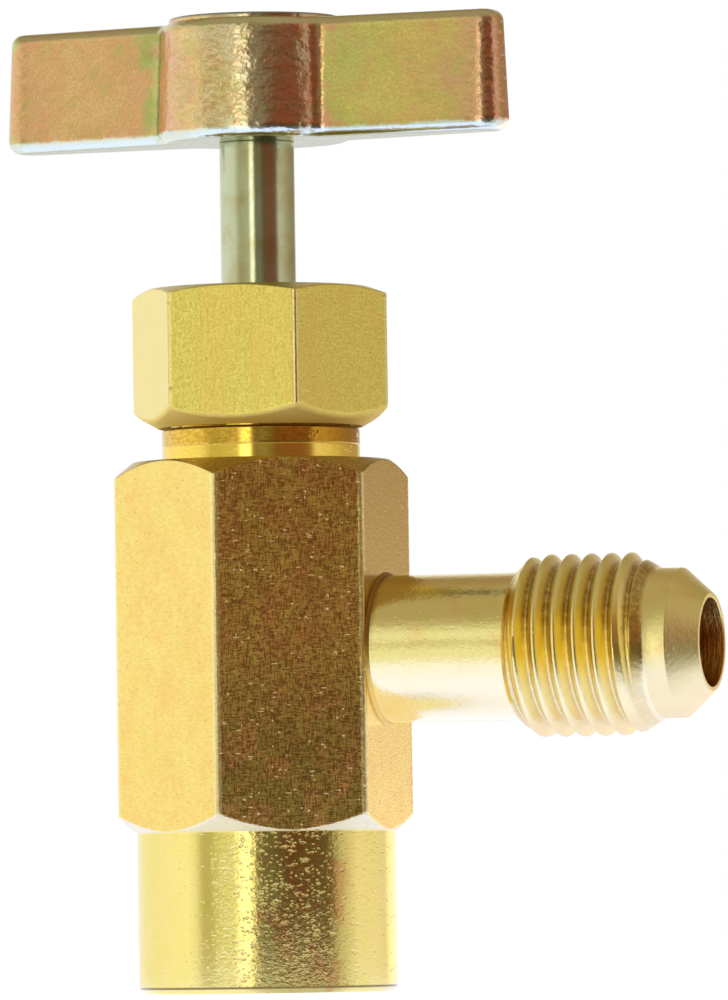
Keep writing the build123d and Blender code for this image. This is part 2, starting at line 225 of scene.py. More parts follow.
def new_object(name, data):
    """A mesh or camera as an object of the scene, at the origin."""
    made = bpy.data.objects.new(name, data)
    bpy.context.scene.collection.objects.link(made)
    return made


def bored(mesh, cutter):
    """Cuts a closed cutter out of a mesh and gives back the cut mesh."""
    whole, tool = (new_object(m.name, m) for m in (mesh, cutter))
    cut = whole.modifiers.new("bore", "BOOLEAN")
    cut.operation, cut.solver, cut.object = "DIFFERENCE", "EXACT", tool
    graph = bpy.context.evaluated_depsgraph_get()
    result = bpy.data.meshes.new_from_object(whole.evaluated_get(graph))
    name = mesh.name
    for o in (whole, tool):
        bpy.data.objects.remove(o)
    for used in (mesh, cutter):
        bpy.data.meshes.remove(used)
    result.name = name
    return smooth(result)


def lathe_mesh(name, corners, columns=96, closed=True, axis="z", centre=0.0, steps=4):
    """A plain turned piece. A profile that isn't closed starts and ends on the axis."""
    return make_mesh(name, [lathe(corners, ring_angles(columns), axis, centre, closed, steps)])


# ---------------- sizes of the pieces

skirt_bottom, neck_top = height_range("valve_body")
hexagon_bottom, hexagon_top = 9.8, 32.57
hexagon_flat, hexagon_round, hexagon_land = 8.0, 0.2, 7.9
hexagon_slope = math.tan(math.radians(38.5))
hexagon_worn, nut_worn = (9.06, 9.16), (7.93, 8.01)
skirt_radius, skirt_bevel, skirt_lap = 7.925, 0.35, 0.02
can_pitch, can_minor, can_major, can_crest, can_thread_top = 1.0, 6.46, 6.89, 0.3, 8.3
mouth_radius, recess_radius, recess_top = 6.91, 6.9, 10.5
shank_radius, shank_top = 6.08, 34.5
shank_line, line_width, line_depth = 33.42, 0.14, 0.02
groove_radius, groove_top = 5.55, 34.75
neck_pitch, neck_major, neck_minor, neck_crest, neck_bevel = 1.0, 5.98, 5.56, 0.62, 0.5
packing_radius, packing_floor = 4.25, 33.4
spindle_pitch, spindle_crest = 1.0, 0.35
bore_major, bore_minor, bore_thread_bottom = 3.5, 3.03, 23.6
chamber_radius, seat_top, seat_bottom, guide_radius = 3.7, 16.83, 14.73, 1.6
port_radius, port_height, port_start = 2.3, 20.86, 2.0
socket_radius, socket_floor, socket_past = 4.53, 5.3, 9.0

nut_bottom, nut_top = height_range("gland_nut")
nut_flat, nut_round, nut_turn = 7.0, 0.18, math.radians(-25.6)
nut_bottom_land, nut_bottom_slope = 6.3, math.tan(math.radians(30))
nut_top_land, nut_top_slope = 6.75, math.tan(math.radians(20))
nut_major, nut_minor, nut_thread_top, nut_web = 6.03, 5.61, 40.0, 41.4
nut_mouth, nut_hole = 6.23, 2.4

nipple_back, nipple_tip = height_range("outlet_nipple", 0)
nipple_radius, barrel_end = 4.5, 16.6
flare_pitch, flare_major, flare_minor, flare_crest = 1.27, 5.555, 4.87, 20.8325
flare_full, flare_full_end, nose_start, nose_end = 17.65, 23.8, 25.5, 26.9
nose_radius, rim_radius, nipple_bore = 4.55, 3.0, 2.7
fillet_width, fillet_waist = 0.3, (0.08, 0.1)

needle_tip, needle_top = height_range("piercing_needle")
needle_radius, needle_head_radius, needle_head_bottom = 1.1, 1.8, 22.9
needle_point, needle_point_flat, needle_gap = 2.4, 0.1, 0.05
spindle_tip, spindle_top = height_range("spindle")
spindle_tip_radius, spindle_shank, cone_top = 1.45, 2.9, 22.7
spindle_major, spindle_minor, thread_bottom, thread_top, thread_bevel = 3.46, 2.99, 27.4, 33.3, 0.5
stem_radius, tang_flat, tang_round = 2.3, 1.7, 0.55
head_bottom, head_radius, head_dome, head_flat = 59.15, 2.46, 0.1, 0.45

handle_bottom, handle_top = height_range("t_handle")
wing_top, wing_length, wing_middle, wing_end = 59.6, 34.18, 6.0, 3.1
hub_radius, hub_corner, wing_corner, handle_round = 6.08, 0.9, 1.45, 0.8
handle_lean = math.tan(math.radians(2.5))
boss_radius, boss_bevel, countersink_radius, tang_hole_flat = 5.3, 0.2, 2.5, 1.72
handle_turn = math.radians(-8.9)
rim_inset, past_hole = 2.0, 3.0

gasket_bottom, gasket_top = height_range("can_gasket")
gasket_radius, gasket_hole, gasket_round = 6.8, 2.2, 0.2

# ---------------- shapes of the pieces


def body_mesh():
    """Turned skirt, hexagon cut by a cone at each end, neck and bores, as one loop of rows: up the outside
    and down the inside. On the hexagon the radius is the bar's, and the height of each cone's edge is the
    cone's slope times how far the bar stands past the land. A cutter makes the port and its socket."""
    angles = hexagon_angles(hexagon_flat, hexagon_round, 0.0)
    bar = bar_radius(angles, hexagon_flat, hexagon_round, 0.0)
    rise = (bar - hexagon_land) * hexagon_slope
    outside = [
        (skirt_bottom, mouth_radius, 0),
        (skirt_bottom, skirt_radius - skirt_bevel, 0.08),
        (skirt_bottom + skirt_bevel, skirt_radius, 0.1),
        (hexagon_bottom + skirt_lap, skirt_radius, 0.03),
        (hexagon_bottom + rise, bar, 0.25),
        (hexagon_top - rise, bar, 0.06),
        (hexagon_top, hexagon_land, 0.06),
        (hexagon_top, shank_radius, 0.04),
        (shank_line, shank_radius, 0.1),
        (shank_line + line_width / 2, shank_radius - line_depth, 0.02),
        (shank_line + line_width, shank_radius, 0.1),
        (shank_top, shank_radius, 0.08),
        (shank_top, groove_radius, 0.1),
        (groove_top, groove_radius, 0),
    ]
    packing_wall = [
        (neck_top, neck_major - neck_bevel, 0),
        (neck_top, packing_radius, 0.15),
        (packing_floor, packing_radius, 0.08),
        (packing_floor, bore_major, 0),
    ]
    chamber_wall = [
        (bore_thread_bottom, bore_major, 0),
        (bore_thread_bottom, chamber_radius, 0.04),
        (seat_top, chamber_radius, 0.1),
        (seat_bottom, guide_radius, 0.08),
        (recess_top, guide_radius, 0.08),
        (recess_top, recess_radius, 0.05),
        (can_thread_top, recess_radius, 0),
    ]
    port = [
        (port_start, 0, 0),
        (port_start, port_radius, 0.02),
        (socket_floor, port_radius, 0.02),
        (socket_floor, socket_radius, 0.02),
        (socket_past, socket_radius, 0.02),
        (socket_past, 0, 0),
    ]

    def neck_blank(along):
        lead = groove_radius + (along - groove_top) * LEAD_SLOPE
        return np.minimum(np.minimum(neck_major, lead), neck_major - neck_bevel + neck_top - along)

    def spindle_bore_blank(along):
        ends = np.minimum(along - bore_thread_bottom, packing_floor - along)
        return np.maximum(bore_minor, bore_major - ends)

    def can_bore_blank(along):
        mouth = mouth_radius - (along - skirt_bottom)
        top = recess_radius - (can_thread_top - along) * LEAD_SLOPE
        return np.maximum(np.maximum(can_minor, mouth), top)

    neck_thread = groove_top, neck_top, neck_pitch, neck_crest, (neck_major, neck_minor)
    neck = screw(*neck_thread, neck_blank, angles, steps=12)
    bore_thread = bore_thread_bottom, packing_floor, spindle_pitch, spindle_crest, (bore_major, bore_minor)
    spindle_bore = screw(*bore_thread, spindle_bore_blank, angles, inside=True)
    can_thread = skirt_bottom, can_thread_top, can_pitch, can_crest, (can_major, can_minor)
    can_bore = screw(*can_thread, can_bore_blank, angles, inside=True)
    packing_bore, chamber = (lathe(wall, angles, steps=3) for wall in (packing_wall, chamber_wall))
    patches = [lathe(outside, angles), neck, packing_bore, spindle_bore, chamber, can_bore]
    cutter = lathe_mesh("port_cutter", port, closed=False, axis="x", centre=port_height, steps=2)
    return bored(make_mesh("valve_body_brass", patches), cutter)


def nut_mesh():
    """Hexagon bar cut by a cone at each end, with a threaded bore, a web and the stem's hole."""
    angles = hexagon_angles(nut_flat, nut_round, nut_turn)
    bar = bar_radius(angles, nut_flat, nut_round, nut_turn)
    outside = [
        (nut_bottom, nut_mouth, 0),
        (nut_bottom, nut_bottom_land, 0.02),
        (nut_bottom + (bar - nut_bottom_land) * nut_bottom_slope, bar, 0.45),
        (nut_top - (bar - nut_top_land) * nut_top_slope, bar, 0.06),
        (nut_top, nut_top_land, 0.06),
        (nut_top, nut_hole, 0.12),
        (nut_web, nut_hole, 0.05),
        (nut_web, nut_major, 0.05),
        (nut_thread_top, nut_major, 0),
    ]

    def bore_blank(along):
        top = nut_major - (nut_thread_top - along) * LEAD_SLOPE
        return np.maximum(np.maximum(nut_minor, nut_mouth - (along - nut_bottom)), top)

    thread = nut_bottom, nut_thread_top, neck_pitch, neck_crest, (nut_major, nut_minor)
    bore = screw(*thread, bore_blank, angles, inside=True)
    return make_mesh("gland_nut_brass", [lathe(outside, angles), bore])


def nipple_mesh():
    """Turned about the outlet's axis: barrel, flare thread between two cones, nose, seat cone and bore."""
    angles = ring_angles(192)
    barrel = [
        (nipple_back, nipple_bore, 0),
        (nipple_back, nipple_radius, 0.1),
        (barrel_end, nipple_radius, 0),
    ]
    nose = [
        (nose_start, nose_radius, 0),
        (nose_end, nose_radius, 0.12),
        (nipple_tip, rim_radius, 0.07),
        (nipple_tip, nipple_bore, 0.07),
        (nipple_back, nipple_bore, 0),
    ]

    def blank(along):
        back_slope = (flare_major - nipple_radius) / (flare_full - barrel_end)
        front_slope = (flare_major - nose_radius) / (nose_start - flare_full_end)
        back = nipple_radius + (along - barrel_end) * back_slope
        front = nose_radius + (nose_start - along) * front_slope
        return np.minimum(np.minimum(flare_major, back), front)

    place = barrel_end, nose_start, flare_pitch, flare_crest, (flare_major, flare_minor)
    thread = screw(*place, blank, angles, "x", port_height, steps=18)
    back, front = (lathe(corners, angles, "x", port_height) for corners in (barrel, nose))
    return make_mesh("outlet_nipple_brass", [back, thread, front])


def spindle_mesh():
    """Cone seat, threaded part, stem, square tang and peened head, hollow for the needle's head."""
    angles = ring_angles(144)
    tang = bar_radius(angles, tang_flat, tang_round, handle_turn, 4)
    pocket_top, pocket_bottom = needle_top + needle_gap, needle_head_bottom - needle_gap
    lower = [
        (pocket_top, 0, 0),
        (pocket_top, needle_head_radius + needle_gap, 0.05),
        (pocket_bottom, needle_head_radius + needle_gap, 0.05),
        (pocket_bottom, needle_radius + needle_gap, 0.05),
        (spindle_tip, needle_radius + needle_gap, 0.05),
        (spindle_tip, spindle_tip_radius, 0.05),
        (cone_top, spindle_shank, 0.1),
        (thread_bottom, spindle_shank, 0.02),
        (thread_bottom, spindle_major - thread_bevel, 0),
    ]
    upper = [
        (thread_top, spindle_major - thread_bevel, 0),
        (thread_top, stem_radius, 0.08),
        (handle_bottom, stem_radius, 0.05),
        (handle_bottom, tang, 0.01),
        (head_bottom, tang, 0.05),
        (spindle_top - head_dome, head_radius, 0.08),
        (spindle_top, head_radius * head_flat, 0.5),
        (spindle_top, 0, 0),
    ]

    def blank(along):
        ends = np.minimum(along - thread_bottom, thread_top - along)
        return np.minimum(spindle_major, spindle_major - thread_bevel + ends)

    radii = spindle_major, spindle_minor
    thread = screw(thread_bottom, thread_top, spindle_pitch, spindle_crest, radii, blank, angles)
    return make_mesh("spindle_steel", [lathe(lower, angles), thread, lathe(upper, angles)])


def arc(centre, radius, start, stop, steps, inward=False):
    """Rows of a point on an arc and the outline's outward normal there. On an inward arc the stock lies
    outside the circle, so a point is the centre minus radius times the normal."""
    angle = np.linspace(start, stop, steps)
    normal = np.stack([np.cos(angle), np.sin(angle)], -1)
    return np.concatenate([np.array(centre) + (-radius if inward else radius) * normal, normal], 1)


# Places of the points along a wing's flat side: even, with one close to each end to keep it flat.
SIDE_SHARES = [0.02, 0.1, 0.3, 0.5, 0.7, 0.9, 0.98]


def handle_outline():
    """Points and outward normals round the handle seen from above, anticlockwise. A quarter runs from the
    wing's end: rounded corner, tapering side, hollow corner tangent to the side and the hub, hub. It is
    mirrored once and both are turned half round."""
    along = np.array([wing_length / 2, (wing_end - wing_middle) / 2])
    along /= np.linalg.norm(along)
    outward = np.array([-along[1], along[0]])
    side = wing_middle / 2 * outward[1]
    end_x = wing_length / 2 - wing_corner
    end_y = (side - wing_corner - end_x * outward[0]) / outward[1]
    lift = side + hub_corner
    hollow = lift * outward + math.sqrt((hub_radius + hub_corner) ** 2 - lift**2) * along
    side_angle, hub_angle = math.atan2(outward[1], outward[0]), math.atan2(hollow[1], hollow[0])
    end_arc = arc((end_x, end_y), wing_corner, 0.0, side_angle, 9)
    hollow_arc = arc(hollow, hub_corner, side_angle, hub_angle, 10, inward=True)
    hub_arc = arc((0, 0), hub_radius, hub_angle, math.pi / 2, 26)
    start, stop = end_arc[-1, :2], hollow - hub_corner * outward
    flat = start + np.array(SIDE_SHARES)[:, None] * (stop - start)
    flat = np.concatenate([flat, np.broadcast_to(outward, flat.shape)], 1)
    tip = [[wing_length / 2, 0.0, 1.0, 0.0]]
    quarter = np.concatenate([tip, end_arc, flat, hollow_arc, hub_arc[1:]])
    mirrored = quarter * (-1, 1, -1, 1)
    half = np.concatenate([quarter[:-1], mirrored[:0:-1]])
    return np.split(np.concatenate([half, -half]), 2, axis=1)


def handle_mesh():
    """Rows of the outline drawn in by an inset at each height: flat underside, rounded rim, leaning side,
    rounded rim, flat top, then the hub's boss, the countersink and the square hole, which closes on the
    underside. Where the rim meets the boss, the inset stops at the boss's circle. The ends of both profiles
    only give the last corners a direction, and are dropped."""
    outline, normals = handle_outline()
    lean = (wing_top - handle_bottom) * handle_lean
    edge = [
        (handle_bottom, rim_inset, 0),
        (handle_bottom, 0.0, handle_round),
        (wing_top, lean, handle_round),
        (wing_top, rim_inset, 0),
    ]
    rim = profile(edge, steps=9)[1:-1, 0]
    under, over = np.split(rim, 2)
    toward = (outline * normals).sum(1)
    reach = toward**2 - (outline**2).sum(1) + boss_radius**2
    limit = np.where(reach > 0, toward - np.sqrt(np.maximum(reach, 0)), np.inf)

    def row(height, inset):
        return np.concatenate([outline - normals * inset[:, None], height[:, None]], 1)

    full = np.ones(len(outline))
    rows = [row(full * height, full * inset) for height, inset in under]
    heights, insets = over[:, 0], over[:, 1]
    for inset in insets:
        held = np.minimum(inset, limit)
        falling = np.interp(held, insets, heights)
        rows.append(row(falling, held))
    last = rows[-1]
    angle = np.arctan2(last[:, 1], last[:, 0])
    direction = np.stack([np.cos(angle), np.sin(angle)], -1)
    hole = bar_radius(angle, tang_hole_flat, tang_round, 0.0, 4)
    centre_part = [
        (last[:, 2], boss_radius, 0),
        (handle_top, boss_radius, boss_bevel),
        (handle_top, countersink_radius, 0.05),
        (head_bottom, hole, 0.05),
        (handle_bottom, hole, 0.1),
        (handle_bottom, past_hole, 0),
    ]
    for line in profile(centre_part, len(outline))[:-1]:
        rows.append(np.concatenate([direction * line[:, 1:2], line[:, 0:1]], 1))
    grid = np.stack(rows)
    cosine, sine = math.cos(handle_turn), math.sin(handle_turn)
    x, y = grid[..., 0].copy(), grid[..., 1].copy()
    grid[..., 0], grid[..., 1] = x * cosine - y * sine, x * sine + y * cosine
    return make_mesh("t_handle_steel", [(grid, True, True)])


def fillet_mesh():
    """Solder round the nipple: a hollow corner between the hexagon's face and the barrel, turned about the
    outlet's axis."""
    waist_along, waist_up = fillet_waist
    corners = [
        (hexagon_flat, nipple_radius, 0.01),
        (hexagon_flat, nipple_radius + fillet_width, 0.02),
        (hexagon_flat + waist_along, nipple_radius + waist_up, 0.2),
        (hexagon_flat + fillet_width, nipple_radius, 0.02),
    ]
    return lathe_mesh("braze_fillet", corners, 128, axis="x", centre=port_height)


def needle_mesh():
    """Turned pin: cone point, shank and head."""
    corners = [
        (needle_tip, 0, 0),
        (needle_tip, needle_point_flat, 0.03),
        (needle_tip + needle_point, needle_radius, 0.2),
        (needle_head_bottom, needle_radius, 0.05),
        (needle_head_bottom, needle_head_radius, 0.08),
        (needle_top, needle_head_radius, 0.15),
        (needle_top, 0, 0),
    ]
    return lathe_mesh("needle_steel", corners, closed=False)


def gasket_mesh():
    """Flat turned ring with rounded edges: up the outside and down the hole."""
    corners = [
        (gasket_bottom, gasket_hole, gasket_round),
        (gasket_bottom, gasket_radius, gasket_round),
        (gasket_top, gasket_radius, gasket_round),
        (gasket_top, gasket_hole, gasket_round),
    ]
    return lathe_mesh("can_gasket_rubber", corners, 128)


# ---------------- finishes


def add_node(tree, kind, settings=None, inputs=None, output=0):
    """Adds a node: its settings first, with a ramp's stops as (place, colour), then its sockets' values or
    links. Gives back one of its outputs."""
    made = tree.nodes.new(kind)
    for key, value in (settings or {}).items():
        if key != "stops":
            setattr(made, key, value)
            continue
        elements = made.color_ramp.elements
        for number, (place, colour) in enumerate(value):
            stop = elements[number] if number < 2 else elements.new(place)
            stop.position, stop.color = place, (*colour, 1)
    for key, value in (inputs or {}).items():
        if isinstance(value, Signal):
            tree.links.new(value.socket, made.inputs[key])
        else:
            made.inputs[key].default_value = value
    return Signal(tree, made.outputs[output] if made.outputs else None)


class Signal:
    """One output of a node. Arithmetic on it adds Math nodes."""

    def __init__(self, tree, socket):
        self.tree, self.socket = tree, socket

    def maths(self, operation, *values):
        return add_node(self.tree, "ShaderNodeMath", {"operation": operation}, dict(enumerate(values)))

    def __add__(self, other):
        return self.maths("ADD", self, other)

    def __mul__(self, other):
        return self.maths("MULTIPLY", self, other)

    def __sub__(self, other):
        return self.maths("SUBTRACT", self, other)

    def __rsub__(self, other):
        return self.maths("SUBTRACT", other, self)

    def __truediv__(self, other):
        return self.maths("DIVIDE", self, other)

    def __lt__(self, other):
        return self.maths("LESS_THAN", self, other)

    __radd__ = __add__
    __rmul__ = __mul__

    def band(self, low, high):
        """0 below low, 1 above high, smooth between."""
        limits = {"Value": self, "From Min": low, "From Max": high}
        return add_node(self.tree, "ShaderNodeMapRange", {"interpolation_type": "SMOOTHSTEP"}, limits)


class Finish:
    """The node tree of a material or of the world while it is written."""

    def __init__(self, owner):
        owner.use_nodes = True
        self.owner, self.tree = owner, owner.node_tree
        self.tree.nodes.clear()

    def node(self, kind, settings=None, inputs=None, output=0):
        return add_node(self.tree, kind, settings, inputs, output)

    def vector(self, operation, first, second):
        return self.node("ShaderNodeVectorMath", {"operation": operation}, {0: first, 1: second})

    def parts(self, vector):
        return [self.node("ShaderNodeSeparateXYZ", None, {0: vector}, axis) for axis in "XYZ"]

    def coordinates(self):
        """Object coordinates in millimetres as x, y and height. The patterns below lie on them."""
        coordinates = self.node("ShaderNodeTexCoord", output="Object")
        self.place = self.vector("MULTIPLY", coordinates, (METRE, METRE, METRE))
        return self.parts(self.place)

    def mix(self, share, first, second):
        """Colour mix: first where share is 0, second where it is 1."""
        colours = [(*c, 1) if isinstance(c, tuple) else c for c in (first, second)]
        inputs = {0: share, 6: colours[0], 7: colours[1]}
        return self.node("ShaderNodeMix", {"data_type": "RGBA"}, inputs, 2)

    def coats(self, colour, *layers):
        """A display colour under layers of (share, display colour), each laid over those before it."""
        for share, layer in layers:
            colour = self.mix(share, tone(colour), tone(layer))
        return colour

    def noise(self, stretch, detail=3.0, rough=0.6, place=None, output="Fac"):
        """Smooth noise with stretch features per millimetre along x, y and z."""
        vector = self.vector("MULTIPLY", place or self.place, along_each(stretch))
        inputs = {"Vector": vector, "Scale": 1.0, "Detail": detail, "Roughness": rough}
        return self.node("ShaderNodeTexNoise", None, inputs, output)

    def patches(self, stretch, low, high, shift=(0, 0, 0), detail=4.0, rough=0.65):
        """Soft-edged patches of noise: 1 inside, 0 outside. A shift makes them other patches."""
        return self.noise(stretch, detail, rough, self.vector("ADD", self.place, shift)).band(low, high)

    def pits(self, stretch, reach, share):
        """Sparse dents of uneven outline: 1 in the middle of one, 0 outside. reach is a dent's radius in
        cells, share the part of the cells that have one."""
        cells = self.vector("MULTIPLY", self.place, along_each(stretch))
        uneven = self.noise(2.2, 2.0, 0.5, cells, "Color")
        cells = self.vector("ADD", cells, self.vector("MULTIPLY", uneven, (0.7, 0.7, 0.7)))
        inputs = {"Vector": cells, "Scale": 1.0}
        distance = self.node("ShaderNodeTexVoronoi", None, inputs, "Distance")
        chance = self.parts(self.node("ShaderNodeTexVoronoi", None, inputs, "Color"))[0]
        return (chance < share) * (1 - distance.band(reach * 0.3, reach))

    def upward(self):
        """How far the surface faces up: 1 on top of a piece, -1 underneath."""
        return self.parts(self.node("ShaderNodeNewGeometry", output="Normal"))[2]

    def bump(self, height):
        """Normal from a height in millimetres."""
        inputs = {"Strength": 1.0, "Distance": 1 / METRE, "Height": height}
        return self.node("ShaderNodeBump", None, inputs)

    def surface(self, colour, roughness, height, metallic=1.0):
        """The finished material from its colour, roughness and relief."""
        inputs = {"Base Color": colour, "Roughness": roughness, "Normal": self.bump(height)}
        inputs["Metallic"] = metallic
        return self.end(self.node("ShaderNodeBsdfPrincipled", None, inputs))

    def light(self, kind, colour, strength):
        """Emission or Background of a linear colour."""
        return self.node("ShaderNode" + kind, None, {"Color": colour, "Strength": strength})

    def blend(self, share, first, second):
        """Shader mix: first where share is 0, second where it is 1."""
        return self.node("ShaderNodeMixShader", None, {0: share, 1: first, 2: second})

    def end(self, shader, kind="ShaderNodeOutputMaterial"):
        self.node(kind, None, {"Surface": shader})
        return self.owner


def new_finish(name):
    return Finish(bpy.data.materials.new(name))


def along_each(stretch):
    """One number for each axis, where there may be only one for all."""
    return stretch if isinstance(stretch, tuple) else (stretch,) * 3


def tone(colour):
    """Linear colour from a display colour of 0 to 255. A signal stays as it is."""
    if isinstance(colour, Signal):
        return colour
    shares = [c / 255 for c in colour]
    return tuple(share / 12.92 if share < 0.039 else ((share + 0.055) / 1.055) ** 2.4 for share in shares)


def from_axis(x, y):
    """Distance from an axis."""
    squares = x * x + y * y
    return squares.maths("SQRT", squares)


def facing(x, y, degrees):
    """How far a place lies from the axis towards a side, in degrees anticlockwise from x."""
    angle = math.radians(degrees)
    return x * math.cos(angle) + y * math.sin(angle)


def body_brass():
    """Bare brass bar. The hexagon has drawing marks, bright nicks and worn corners. Its front face is dull
    and scratched both ways, and its outlet face is darkened above the joint, a painted shade. The skirt is
    paler, peened deepest in front, with a painted dark reflection on its front-right side and a painted
    shadow along its bottom bevel. The neck is warm, and pitted and sooty above its line. Chamfers that face
    down are made pale, a painted reflection of the floor, and those that face up are darkened, a painted
    shade."""
    f = new_finish("bare_brass_bar")
    x, y, height = f.coordinates()
    upward = f.upward()
    skirt = 1 - height.band(hexagon_bottom, hexagon_bottom + 0.1)
    neck = height.band(hexagon_top - 0.05, hexagon_top + 0.05)
    runout = height.band(shank_line, shank_line + 0.15)
    flat = (1 - skirt) * (1 - neck)
    face_edge = hexagon_flat - 0.2, hexagon_flat - 0.03
    front = facing(x, y, -60).band(*face_edge) * flat
    # Painted shade: the outlet face above the nipple is darkened to stand for the dark reflection it shows.
    painted_shade_above_joint = x.band(*face_edge) * flat * height.band(19.0, 24.0)
    corner = from_axis(x, y).band(*hexagon_worn) * flat
    peened_side = facing(x, y, -63.25).band(6.2, 7.7) * skirt
    # Painted reflection: the skirt's front-right side is darkened and reddened to stand for the dark room it
    # reflects.
    painted_dark_reflection_side = facing(x, y, -55.93).band(6.9, 7.6) * skirt
    sooty = facing(x, y, 18.62).band(2.4, 3.6) * runout
    # Painted reflection: surfaces facing down, off the skirt, are made pale and rougher to stand for the
    # bright floor they reflect.
    below = (0 - upward).band(0.2, 0.5) * (1 - skirt)
    low = 1 - height.band(13.0, 23.0)
    # Painted shadow: a dark band on the skirt's bottom bevel, where it stands on the floor.
    painted_foot_shadow = height.band(skirt_bevel - 0.12, skirt_bevel - 0.04)
    painted_foot_shadow = painted_foot_shadow * (1 - height.band(skirt_bevel, skirt_bevel + 0.1))

    lines = f.noise((2.2, 2.2, 12.0), 3.0, 0.65)
    uprights = f.noise((12.0, 12.0, 2.2), 3.0, 0.65)
    scratches = (lines + uprights) * (0.004 + front * 0.007)
    peened = f.noise((3.0, 3.0, 3.8), 3.0, 0.62) * (0.006 + peened_side * 0.014)
    dots = f.pits((2.6, 2.6, 3.4), 0.26, 0.14)
    streaks = f.pits((1.5, 1.5, 6.0), 0.32, 0.08)
    curls = f.pits((1.7, 1.7, 3.2), 0.4, 0.45) * 0.042
    curls = curls + f.pits((3.6, 3.6, 5.4), 0.4, 0.5) * 0.022
    wear = f.noise((3.0, 3.0, 2.2)) * 0.05
    craters = f.pits((0.8, 0.8, 1.3), 0.35, 0.25) * 0.05
    nicks = (dots * 0.02 + streaks * 0.012) * (1 - neck * 0.8) + curls * peened_side
    relief = scratches * flat + peened * skirt + wear * corner - nicks - craters * runout

    red = f.patches((0.55, 0.55, 0.4), 0.45, 0.65)
    olive = f.patches((0.5, 0.5, 0.35), 0.45, 0.65, (17.0, 5.0, 9.0))
    grime = f.noise((3.0, 3.0, 6.0), 3.0, 0.7).band(0.35, 0.65)
    dull = f.coats(
        f.coats((255, 222, 118), (low, (200, 178, 86))),
        (red * 0.65, (255, 184, 112)),
        (olive * 0.3, (208, 190, 90)),
        ((lines + uprights).band(0.92, 1.08) * 0.8, f.coats((168, 108, 54), (low, (132, 94, 44)))),
        ((dots + streaks).band(0.1, 0.6), (255, 228, 160)),
    )
    bar = f.coats(
        (255, 228, 138),
        (red * 0.6, (255, 208, 128)),
        (olive * 0.35, (244, 224, 116)),
        (grime * 0.3, (220, 182, 96)),
        (lines.band(0.42, 0.6) * 0.15, (232, 196, 104)),
        (front, dull),
        (painted_shade_above_joint, (198, 162, 68)),
        (corner * 0.6, (255, 240, 176)),
    )
    pale = f.coats(
        (248, 228, 142),
        (olive * 0.5, (240, 226, 124)),
        (painted_dark_reflection_side * 0.8, f.coats((200, 182, 98), (red, (196, 142, 80)))),
        (painted_foot_shadow * 0.9, (120, 96, 48)),
    )
    warm = f.coats(
        (252, 220, 104),
        (grime * 0.3, (226, 176, 56)),
        (runout * (grime * 0.4 + 0.3), (196, 140, 26)),
        (sooty * 0.7, (176, 118, 22)),
    )
    # Painted shade: surfaces facing up are darkened.
    painted_shade_facing_up = upward.band(0.3, 0.6) * 0.75
    shade = f.coats(bar, (skirt, pale), (neck, warm), (below, (255, 248, 214)), (painted_shade_facing_up, (176, 142, 62)))
    patchy = f.noise((5.0, 5.0, 9.0), 3.0, 0.7).band(0.4, 0.62)
    rough = 0.17 + patchy * flat * 0.14 + front * (0.15 - dots * 0.18) - (neck + skirt) * 0.04 + below * 0.35
    return f.surface(shade, rough, relief)


def nut_brass():
    """Satin brass: a fine crossed grain, faint upright shading bands and worn corners with bright nicks. The
    left-hand face is made brighter, a painted highlight, and so is the chamfer underneath, a painted
    reflection of the floor."""
    f = new_finish("bare_brass_nut")
    x, y, _ = f.coordinates()
    corner = from_axis(x, y).band(*nut_worn)
    # Painted highlight: the left-hand face is made paler to stand for the bright light it faces.
    painted_lit_face = facing(x, y, 214.4).band(nut_flat - 0.2, nut_flat - 0.03)
    # Painted reflection: the chamfer underneath is made paler and rougher to stand for the bright floor.
    below = (0 - f.upward()).band(0.15, 0.5)
    crossed = f.noise((6.0, 6.0, 1.4)) + f.noise((1.4, 1.4, 6.0))
    wear = f.noise((2.6, 2.6, 2.0)) * 0.02
    nicks = f.pits((1.6, 1.6, 1.7), 0.34, 0.3) * 0.03 * corner
    specks = f.pits((2.1, 2.1, 2.4), 0.16, 0.05) * 0.02
    relief = crossed * 0.012 + wear * corner - nicks - specks
    shade = f.coats(
        (232, 216, 118),
        (f.noise(7.0, 3.0, 0.75).band(0.34, 0.66) * 0.8, (196, 176, 76)),
        (f.noise((0.9, 0.9, 0.12)).band(0.4, 0.65) * 0.35, (228, 188, 104)),
        (painted_lit_face * 0.9, (250, 232, 150)),
        (corner * 0.3, (255, 240, 190)),
        (below, (255, 234, 140)),
    )
    rough = 0.32 + (f.noise(1.5) - 0.5) * 0.1 + below * 0.4
    return f.surface(shade, rough, relief)


